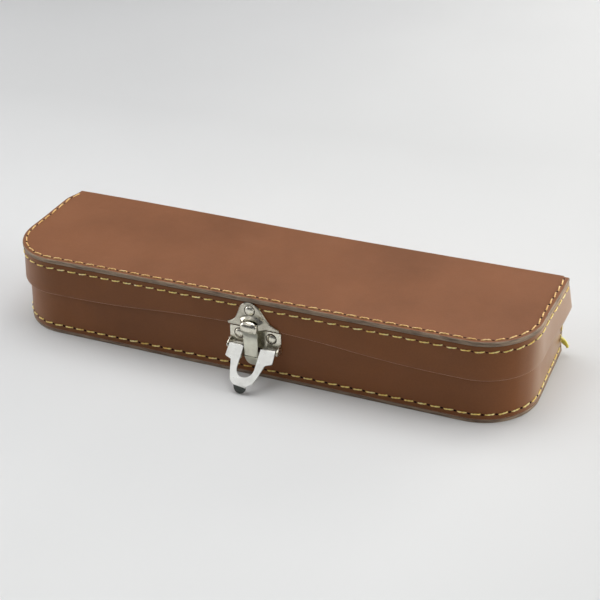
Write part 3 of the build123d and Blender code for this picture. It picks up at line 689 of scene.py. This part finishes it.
top_line = [(Vector((x - nx * 3.0, y - ny * 3.0, HEIGHT)), Vector((0, 0, 1))) for x, y, nx, ny in outline(22, 30, 106, 47.5)]
for piece in stitch_row("stitching_top", top_line, "lid", 11, radius=0.56, hole=(0.80, 0.52), twine=THREAD_WORN_AND_REFLECTION):
    settle(piece, "hide")
for piece in stitch_row("stitching_lid", side_line(lid_inset, 55.7, 50.5, -LID_FLARE), "lid", 12, radius=0.52, hole=(0.62, 0.42)):
    settle(piece, "band")
for piece in stitch_row("stitching_base", side_line(base_inset, 6.7, 49.0, BASE_LEAN), "base", 13, radius=0.56):
    settle(piece, "base")
for side, label in ((-1, "left"), (1, "right")):
    upright = [(Vector((side * (HALF_LENGTH - base_inset(z)), 47.2, z)), Vector((side, 0, BASE_LEAN)).normalized())
               for z in (9.0, 20.0, 32.0, 44.0, 55.0)]
    for piece in stitch_row("stitching_rear_" + label, upright, "base", 20 + side):
        settle(piece, "base")


def thread_tail(name, route, thick):
    """Loose end of the last stitch at the rear right corner."""
    curve = bpy.data.curves.new(name + "_line", "CURVE")
    curve.dimensions = "3D"
    spline = curve.splines.new("NURBS")
    spline.points.add(len(route) - 1)
    for point, at in zip(spline.points, route):
        point.co = (*(Vector(at) * MM), 1)
    spline.order_u = 3
    spline.use_endpoint_u = True
    curve.bevel_depth = thick * MM
    curve.bevel_resolution = 3
    curve.use_fill_caps = True
    curve.materials.append(THREAD_END)
    obj = bpy.data.objects.new(name, curve)
    bpy.context.scene.collection.objects.link(obj)
    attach(obj, "base")


thread_tail("thread_tail", [(199.4, 47.4, 15.0), (201.6, 48.0, 13.8), (204.0, 48.6, 10.4), (205.2, 49.0, 6.8)], 1.05)
thread_tail("thread_tail_ply", [(199.4, 47.8, 13.6), (200.9, 48.4, 11.6), (202.6, 49.0, 8.8), (205.6, 49.4, 7.6)], 0.8)

# ---------------------------------------------------------------- latch
rounded("latch_plate", 0.22, [NICKEL], "base")


def worn_lever(at):
    """Lever a little out of square on its pivot, with a narrower turned tip."""
    down = min(1.0, max(0.0, (24.0 - at.z) / 23.5))
    narrow = 1 - 0.15 * ease(10.0 - at.z, 0, 5)
    return Vector((LATCH_X + (at.x - LATCH_X) * narrow - 1.9 * down ** 1.3, at.y, at.z))


def short_heads(at):
    """Stub pins with low heads against the ears."""
    u = at.x - LATCH_X
    over = max(0.0, abs(u) - 19.45)
    if not over:
        return at
    small = 0.82
    return Vector((LATCH_X + math.copysign(19.45 + over * 0.45, u), -56.85 + (at.y + 56.85) * small, 25.2 + (at.z - 25.2) * small))


rounded("lever_pins", 0.10, [NICKEL], "base", shape=short_heads)
rounded("link_pin", 0.12, [NICKEL], "lever")
rounded("lever", 0.20, [NICKEL_BRIGHT, TIP], "lever", shape=worn_lever,
        pick=lambda c: 1 if c.z < 6.6 and c.y < -HALF_DEPTH - 15 else 0)


def loft(sections):
    """Closed skin through rings of points."""
    count = len(sections[0])
    verts = [v for ring in sections for v in ring]
    faces = []
    for i in range(len(sections) - 1):
        for k in range(count):
            m = (k + 1) % count
            faces.append((i * count + k, i * count + m, (i + 1) * count + m, (i + 1) * count + k))
    faces.append(tuple(reversed(range(count))))
    faces.append(tuple(range((len(sections) - 1) * count, len(sections) * count)))
    return verts, faces


def power(value, exponent):
    return math.copysign(abs(value) ** exponent, value)


HOOK_X = LATCH_X - 0.35
STRIP_HALF = 5.4  # half width of the hook's strip
STRIP_FRONT = 6.9  # how far its faces stand out from the case
STRIP_BACK = 5.6
TONGUE_TIP_Z = 11.4
TONGUE_ROUND = 8.0
TONGUE_LEAN = -2.7  # its tip is bent in towards the case
HOOK_CREASES = (19.95, 39.9)
KNOB_Z = 44.4
KNOB_RISE = 4.35
KNOB_BULGE = 3.5
KNOB_HALF = 6.45


def hook_sections():
    """Height, front, back, half width and squareness of the hook, from its tongue up to its knob."""
    sections = []
    for i in range(1, 11):
        a = math.pi / 2 * i / 10
        z = TONGUE_TIP_Z + TONGUE_ROUND * (1 - math.cos(a))
        lean = TONGUE_LEAN * math.cos(a)
        thin = 0.35 * (1 - math.sin(a)) ** 2
        sections.append((z, STRIP_FRONT + lean - thin, STRIP_BACK + lean + thin,
                         STRIP_HALF * math.sin(a) ** 0.6, 2.2 + 5.8 * math.sin(a) ** 2))
    for z, crease in ((19.5, 0.0), (19.75, 0.45), (20.15, 0.45), (20.4, 0.0), (30.0, 0.0), (39.2, 0.0), (39.5, 0.4), (40.0, 0.4)):
        sections.append((z, STRIP_FRONT - crease, STRIP_BACK, STRIP_HALF, 8.0))
    for i in range(1, 17):
        a = math.pi * i / 16.5
        swell = math.sin(a)
        z = KNOB_Z - KNOB_RISE * math.cos(a)
        rising = a < math.pi / 2
        front = STRIP_FRONT + KNOB_BULGE * swell ** (0.75 if rising else 1.0)
        back = STRIP_BACK + 0.75 * (swell if rising else 1.0)
        half = STRIP_HALF + (KNOB_HALF - STRIP_HALF) * swell if rising else KNOB_HALF * swell ** 0.72
        sections.append((z, front, back, half, 2.1 + 5.9 * math.exp(-a / 0.45)))
    return sections


def pressed_hook():
    """Draw hook: tongue, crease, strip and rolled knob, with its lip and its knuckle on the pin."""
    ring, rings = 40, []
    for z, front, back, half, square in hook_sections():
        middle, thick = (front + back) / 2, (front - back) / 2
        loop = []
        for k in range(ring):
            a = math.tau * k / ring
            x = half * power(math.cos(a), 2 / square)
            out = middle + thick * power(math.sin(a), 2 / min(square, 4.5))
            loop.append((HOOK_X + x, -HALF_DEPTH - out, z))
        rings.append(loop)
    parts = [loft(rings)]
    lip = []
    for out, half, low, high in ((7.4, 5.4, 44.5, 46.1), (5.5, 5.4, 44.55, 46.05), (5.05, 5.2, 44.7, 45.9), (4.9, 4.9, 44.95, 45.65)):
        lip.append([(HOOK_X + sx * half, -HALF_DEPTH - out, z) for sx, z in ((-1, low), (1, low), (1, high), (-1, high))])
    parts.append(loft(lip))
    knuckle = []
    for x, r in ((-4.6, 1.85), (-4.4, 2.1), (4.4, 2.1), (4.6, 1.85)):
        loop = []
        for k in range(24):
            a = math.tau * k / 24
            out = 3.5 + r * math.cos(a)
            z = 20.0 + r * math.sin(a)
            if math.cos(a) > 0.35:
                out, z = 6.1, 20.0 + (r if math.sin(a) > 0 else -r) * min(1.0, abs(math.sin(a)) + 0.05)
            loop.append((LATCH_X + x, -HALF_DEPTH - out, z))
        knuckle.append(loop)
    parts.append(loft(knuckle))
    verts, faces = [], []
    for v, f in parts:
        faces += [tuple(i + len(verts) for i in face) for face in f]
        verts += v
    strip_faces = len(parts[0][1])
    slots = []
    for i, face in enumerate(faces):
        height = sum(verts[v][2] for v in face) / len(face)
        # Painted shade: faces at the two creases, the knob's underside among them, take the near-black slot.
        creased = any(abs(height - crease) < 0.22 for crease in HOOK_CREASES)
        if i >= strip_faces:
            slots.append(0)
        elif creased:
            slots.append(1)
        else:
            slots.append(2 if height > HOOK_CREASES[1] else 0)
    obj = make("draw_hook_pressed", verts, faces, [NICKEL_SATIN, LATCH_SHADE, NICKEL], "hook", ["draw_hook"], slots)
    obj.data.set_sharp_from_angle(angle=math.radians(60))


KEEPER_SLANT = 0.18  # the keeper's top sits a little to the left
WINDOW_HALF = 5.9  # half width of the keeper's window, its sill and where its round top starts
WINDOW_LOW = 2.8
WINDOW_SHOULDER = 4.6
WINDOW_RISE = 2.6
WINDOW_CORNER = 3.7


def pressed_keeper():
    """Bell-shaped keeper with a rolled rim and a smooth hood, open below and pierced by a window."""
    out = Vector((0, -1, LID_FLARE)).normalized()
    up = Vector((0, LID_FLARE, 1)).normalized()
    origin = Vector((LATCH_X, -HALF_DEPTH + lid_inset(41.0), 41.0))

    def half_width(v):
        if v <= 1.7:
            return 19.48
        if v <= 7.6:
            return 21.87 - math.sqrt(144.0 - (v - 13.46) ** 2)
        if v <= 12.6:
            return 11.4 + (8.6 - 11.4) * (v - 7.6) / 5.0
        return math.sqrt(max(0.0, 83.96 - (v - 9.437) ** 2))

    def hood(u, v, grow=0.0):
        inside = min(9.6 + grow - abs(u), 13.9 + grow - math.hypot(u, v + 4.04))
        t = min(1.0, max(0.0, inside / 4.2))
        return 3.0 * t * t * (3 - 2 * t)

    def place(u, v, w):
        return origin + Vector((u - KEEPER_SLANT * v, 0, 0)) + up * v + out * w

    vs = [0.0, 0.15, 0.5] + [0.5 + 17.6 * i / 34 for i in range(1, 35)] + [18.35, 18.55]
    columns = 56
    verts, faces = [], []
    for top in (True, False):
        for v in vs:
            half = max(0.4, half_width(v))
            for j in range(columns + 1):
                u = half * math.sin(math.pi / 2 * (-1 + 2 * j / columns))
                rim = min(half - abs(u), v + 0.25, (18.6 - v) * 0.8)
                roll = 0.75 * max(0.0, 1 - rim / 0.9) ** 2
                w = 1.45 + hood(u, v) - roll if top else max(0.02, hood(u, v, -1.0) + 0.15)
                w = min(w, 1.45 + hood(u, v) - 0.5) if not top else w
                verts.append(place(u, v, w))
    width, tall = columns + 1, len(vs)
    for layer in (0, 1):
        start = layer * width * tall
        for i in range(tall - 1):
            for j in range(columns):
                a = start + i * width + j
                q = (a, a + 1, a + width + 1, a + width)
                faces.append(q if layer == 0 else tuple(reversed(q)))
    rim = [(0, j) for j in range(width)] + [(i, width - 1) for i in range(1, tall)]
    rim += [(tall - 1, j) for j in range(width - 2, -1, -1)] + [(i, 0) for i in range(tall - 2, 0, -1)]
    flat = [i * width + j for i, j in rim]
    for a, b in zip(flat, flat[1:] + flat[:1]):
        faces.append((a, b, b + width * tall, a + width * tall))
    obj = make("keeper_pressed", verts, faces, [NICKEL_SHADED], "lid", ["keeper_plate"])
    window = [(-WINDOW_HALF, WINDOW_LOW), (WINDOW_HALF, WINDOW_LOW)]
    for i in range(13):
        a = math.pi * i / 12
        side = math.copysign(WINDOW_HALF - WINDOW_CORNER, 6 - i) if i != 6 else 0.0
        window.append((side + WINDOW_CORNER * math.cos(a), WINDOW_SHOULDER + WINDOW_RISE * math.sin(a)))
    cut_verts, cut_faces = loft([[place(u, v, w) for u, v in window] for w in (2.4, 7.0)])
    cutter = make("keeper_window_cutter", cut_verts, cut_faces, [NICKEL], None)
    hole = obj.modifiers.new("window", "BOOLEAN")
    hole.object = cutter
    hole.operation = "DIFFERENCE"
    hole.solver = "EXACT"
    pierced = bpy.data.meshes.new_from_object(obj.evaluated_get(bpy.context.evaluated_depsgraph_get()))
    obj.modifiers.clear()
    obj.data = pierced
    bpy.data.objects.remove(cutter)
    obj.data.set_sharp_from_angle(angle=math.radians(42))


pressed_hook()
pressed_keeper()


DOME_RADIUS = 3.5
DOME_RISE = 1.37


def domed_rivets(name, spots, body, node, plane_z, inset, lean, sheet, slant=0.0):
    """Low domed rivet heads with a pressed ring, and their shanks."""
    out = Vector((0, -1, lean)).normalized()
    up = Vector((0, lean, 1)).normalized()
    origin = Vector((LATCH_X, -HALF_DEPTH + inset, plane_z))
    profile = [(1.5, -3.9), (1.5, -0.02), (4.1, 0.0), (4.12, 0.07), (3.75, 0.10)]
    for i in range(9):
        a = math.radians(83) * i / 8
        profile.append((DOME_RADIUS * math.cos(a), 0.12 + DOME_RISE * math.sin(a)))
    verts, faces, slots, ring = [], [], [], 32
    for u, v in spots:
        base = origin + Vector((u, 0, 0)) + up * v + out * sheet
        start = len(verts)
        for r, h in profile:
            centre = base - Vector((slant * v, 0, 0)) if h >= 0 else base
            for k in range(ring):
                a = math.tau * k / ring
                verts.append(centre + Vector((1, 0, 0)) * r * math.cos(a) + up * r * math.sin(a) + out * h)
        for i in range(len(profile) - 1):
            for k in range(ring):
                m = (k + 1) % ring
                a, b = start + i * ring, start + (i + 1) * ring
                faces.append((a + k, a + m, b + m, b + k))
                # Painted shade: shank, underside and pressed ring of each head take the near-black slot.
                slots.append(1 if i < 5 else 0)
        faces.append(tuple(start + (len(profile) - 1) * ring + k for k in range(ring)))
        faces.append(tuple(start + k for k in reversed(range(ring))))
        slots += [0, 0]
    obj = make(name, verts, faces, [NICKEL, LATCH_SHADE], body, [node], slots)
    obj.data.set_sharp_from_angle(angle=math.radians(50))


up_scale = math.hypot(1, BASE_LEAN)
domed_rivets("plate_rivets", [(-12.2, 8.7 * up_scale), (12.2, 8.7 * up_scale)], "base", "latch_rivets",
             24.0, base_inset(24.0), BASE_LEAN, 1.0)
domed_rivets("keeper_rivet_head", [(0, 12.9)], "lid", "keeper_rivet", 41.0, lid_inset(41.0), LID_FLARE, 1.4,
             KEEPER_SLANT)
for node in ("latch_washers", "keeper_washer"):
    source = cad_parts[node]
    for index in range(len(source.material_slots)):
        source.material_slots[index].material = NICKEL

# ---------------------------------------------------------------- interior
for node in ("floor_board", "front_rail", "back_rail", "front_block_left", "front_block_right", "rear_block_left",
             "rear_block_right", "divider", "partition", "body_saddle_left", "body_saddle_right", "head_saddle",
             "foot_saddle"):
    rounded(node, 0.45, [PLUSH], "base", segments=3)


def padded_lid():
    """Lining pad of the lid: crowned towards the middle, drawn in at its edge, lightly channelled."""
    rear = FOLD_Y - WRAP - 0.6
    inset = 3.7
    xs = [-1 + 2 * i / 120 for i in range(121)]
    ys = [i / 34 for i in range(35)]
    verts, faces = [], []

    def half_at(y):
        if y >= ARC_Y:
            return HALF_LENGTH - inset
        return ARC_X + math.sqrt(max(0.0, (CORNER_R - inset) ** 2 - (ARC_Y - y) ** 2))

    front = -HALF_DEPTH + inset
    for lower in (True, False):
        for v in ys:
            y = front + (rear - front) * (1 - math.cos(math.pi * v)) / 2
            half = half_at(y)
            for u in xs:
                x = half * math.sin(u * math.pi / 2)
                border = min(half - abs(x), y - front, rear - y)
                swell = 1 - math.exp(-max(border, 0) / 5.0)
                channel = 0.45 * math.exp(-((border - 12.0) / 1.2) ** 2)
                z = TOP_UNDER - 0.5 - 2.9 * swell + channel + wobble(x, y, 3, 0.25, 26.0) * swell
                verts.append((x, y, z if lower else TOP_UNDER - 0.02))
    width, tall = len(xs), len(ys)
    for layer in (0, 1):
        start = layer * width * tall
        for i in range(tall - 1):
            for j in range(width - 1):
                a = start + i * width + j
                faces.append((a, a + 1, a + width + 1, a + width))
    rim = [(0, j) for j in range(width)] + [(i, width - 1) for i in range(1, tall)]
    rim += [(tall - 1, j) for j in range(width - 2, -1, -1)] + [(i, 0) for i in range(tall - 2, 0, -1)]
    flat = [i * width + j for i, j in rim]
    for a, b in zip(flat, flat[1:] + flat[:1]):
        faces.append((a, b, b + width * tall, a + width * tall))
    obj = make("lid_lining", verts, faces, [PLUSH], "lid", ["lid_pad"])


padded_lid()


# ---------------------------------------------------------------- stage, light and camera
PALE = (0.70, 0.705, 0.71, 1)  # tone of the far background
FADE_START, FADE_END = 0.95, 1.45  # metres from the case over which the floor turns into it


def fade_to_pale(n):
    """Far from the case the floor turns pale, for camera rays only, so it lights nothing."""
    length = n.add("ShaderNodeVectorMath", operation="LENGTH")
    n.link(n.place, length.inputs[0])
    far_off = n.levels(length.outputs["Value"], 0, 1, FADE_START, FADE_END)
    share = n.add("ShaderNodeMath", operation="MULTIPLY")
    n.link(far_off, share.inputs[0])
    n.link(n.add("ShaderNodeLightPath").outputs["Is Camera Ray"], share.inputs[1])
    plain = n.add("ShaderNodeEmission", Color=PALE, Strength=1.0)
    blend = n.add("ShaderNodeMixShader")
    n.link(share.outputs[0], blend.inputs[0])
    n.link(n.shader.outputs["BSDF"], blend.inputs[1])
    n.link(plain.outputs["Emission"], blend.inputs[2])
    n.link(blend.outputs["Shader"], n.tree.nodes["Material Output"].inputs["Surface"])


def floor():
    n = Nodes("paper_sweep")
    tone = n.ramp(n.noise(3, 2), [(0.3, (0.735, 0.745, 0.745)), (0.7, (0.765, 0.775, 0.775))])
    split = n.add("ShaderNodeSeparateXYZ")
    n.link(n.place, split.inputs["Vector"])
    # Painted shade: the paper is darker behind the case than in front.
    far = n.ramp(n.levels(split.outputs["Y"], 0, 1, -0.5, 0.9), [(0.0, (0.97, 0.97, 0.975)), (0.45, (0.90, 0.90, 0.905)), (0.62, (0.81, 0.81, 0.815)),
                                                                            (1.0, (0.85, 0.85, 0.86))])
    tone = n.mix(1.0, tone, far, "MULTIPLY")
    # Painted shade: the paper turns much darker towards both sides.
    wide = n.ramp(n.levels(split.outputs["X"], 0, 1, -1.3, 1.3), [(0.0, (0.46, 0.46, 0.47)), (0.24, (0.84, 0.84, 0.845)), (0.40, (0.94, 0.94, 0.945)), (0.47, (1, 1, 1)), (0.56, (1, 1, 1)),
                                                                             (0.60, (0.955, 0.955, 0.955)), (0.75, (0.74, 0.74, 0.745)), (1.0, (0.46, 0.46, 0.47))])
    tone = n.mix(1.0, tone, wide, "MULTIPLY")
    n.finish(tone, n.levels(n.noise(40, 3), 0.75, 0.85), Specular_IOR_Level=0.1)
    fade_to_pale(n)
    verts, faces = [], []
    profile = [(-9000, 0), (1400, 0)]
    for i in range(1, 13):
        a = math.pi / 2 * i / 12
        profile.append((1400 + 900 * math.sin(a), 900 - 900 * math.cos(a)))
    profile.append((2300, 2600))
    for y, z in profile:
        for x in (-9000, 0, 9000):
            verts.append((x, y, z))
    for i in range(len(profile) - 1):
        for j in range(2):
            faces.append((i * 3 + j, i * 3 + j + 1, i * 3 + j + 4, i * 3 + j + 3))
    obj = make("paper_floor", verts, faces, [n.material], None)


def area_light(name, at, target, size, power, colour=(1, 1, 1)):
    data = bpy.data.lights.new(name, "AREA")
    data.shape = "RECTANGLE"
    data.size, data.size_y = size
    data.energy = power
    data.color = colour
    obj = bpy.data.objects.new(name, data)
    bpy.context.scene.collection.objects.link(obj)
    obj.location = at
    obj.rotation_euler = (Vector(target) - Vector(at)).to_track_quat("-Z", "Y").to_euler()


floor()
area_light("key", (-0.10, 0.38, 2.1), (0, 0.05, 0), (1.9, 1.5), 29.5, (1.0, 0.99, 0.975))
area_light("right", (1.30, 0.25, 0.50), (0.18, 0, 0.03), (1.0, 0.8), 9, (1.0, 0.98, 0.95))
area_light("left", (-1.30, -0.12, 0.50), (-0.18, 0, 0.03), (1.0, 0.8), 9)
area_light("rear_right", (0.90, 1.25, 0.42), (0.2, 0, 0.03), (0.9, 0.6), 13, (1.0, 0.97, 0.92))
area_light("lever_fill", (-0.62, -0.90, 1.25), (0.0, -0.06, 0.02), (0.75, 0.6), 1.7)


def studio_world():
    """Pale room, dimmer on the side in front of the case, and plain where the camera sees it."""
    world = bpy.data.worlds.new("studio")
    bpy.context.scene.world = world
    world.use_nodes = True
    nodes, links = world.node_tree.nodes, world.node_tree.links
    back = nodes["Background"]
    back.inputs["Strength"].default_value = 0.55
    place = nodes.new("ShaderNodeTexCoord")
    split = nodes.new("ShaderNodeSeparateXYZ")
    ramp = nodes.new("ShaderNodeValToRGB")
    ramp.color_ramp.elements[0].position = 0.22
    ramp.color_ramp.elements[0].color = (0.16, 0.16, 0.17, 1)
    ramp.color_ramp.elements[1].position = 0.72
    ramp.color_ramp.elements[1].color = (0.80, 0.81, 0.82, 1)
    span = nodes.new("ShaderNodeMapRange")
    span.inputs["From Min"].default_value = -1
    links.new(place.outputs["Generated"], split.inputs["Vector"])
    links.new(split.outputs["Y"], span.inputs["Value"])
    links.new(span.outputs["Result"], ramp.inputs["Fac"])
    links.new(ramp.outputs["Color"], back.inputs["Color"])
    plain = nodes.new("ShaderNodeBackground")
    plain.inputs["Color"].default_value = PALE
    blend = nodes.new("ShaderNodeMixShader")
    links.new(nodes.new("ShaderNodeLightPath").outputs["Is Camera Ray"], blend.inputs[0])
    links.new(back.outputs["Background"], blend.inputs[1])
    links.new(plain.outputs["Background"], blend.inputs[2])
    links.new(blend.outputs["Shader"], nodes["World Output"].inputs["Surface"])


studio_world()


def camera():
    data = bpy.data.cameras.new("camera")
    obj = bpy.data.objects.new("camera", data)
    bpy.context.scene.collection.objects.link(obj)
    data.sensor_width = 36
    data.lens = 1254.63 / 600 * 36
    yaw, pitch, roll = 0.4269, 0.5369, -0.0382
    fwd = Vector((-math.sin(yaw) * math.cos(pitch), math.cos(yaw) * math.cos(pitch), -math.sin(pitch)))
    right0 = Vector((math.cos(yaw), math.sin(yaw), 0))
    up0 = right0.cross(fwd)
    right = right0 * math.cos(roll) + up0 * math.sin(roll)
    up = up0 * math.cos(roll) - right0 * math.sin(roll)
    turn = Matrix((right, up, -fwd)).transposed().to_4x4()
    obj.matrix_world = Matrix.Translation(Vector((343.03, -712.93, 501.43)) * MM) @ turn
    bpy.context.scene.camera = obj


camera()
bpy.context.scene.view_settings.view_transform = "Standard"
